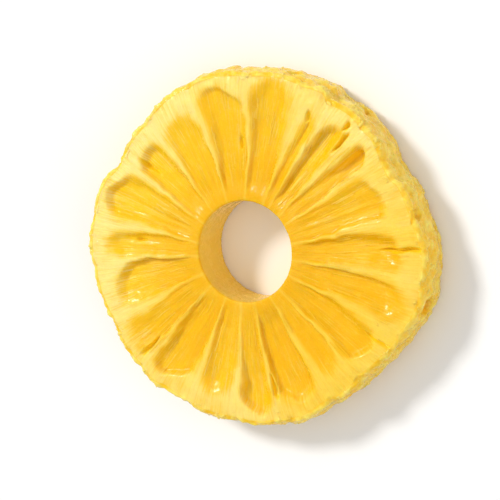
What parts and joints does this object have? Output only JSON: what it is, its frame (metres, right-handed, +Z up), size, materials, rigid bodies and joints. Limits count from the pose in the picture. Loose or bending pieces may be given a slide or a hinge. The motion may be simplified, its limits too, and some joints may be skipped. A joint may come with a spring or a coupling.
{
  "type": "pineapple ring",
  "caption": "Thick fresh-cut ring of peeled and cored pineapple with sunken wedge-shaped fruitlets, raised radial walls and eye pits round its uneven rim, lying flat.",
  "frame": {"origin": "middle of the ring's footprint on the surface it lies on", "axes": "+Z up out of the upper cut face, along the core hole; +X and +Y in the plane of the slice"},
  "size_m": [0.0998, 0.0962, 0.0145],
  "materials": {
    "pineapple_flesh": "wet cut pineapple flesh: golden yellow sunken fruitlets between paler radial walls, a pale creamy outer band and a soft juicy gloss"
  },
  "bodies": {
    "root": {"pineapple_ring": "pineapple_flesh"}
  },
  "joints": []
}
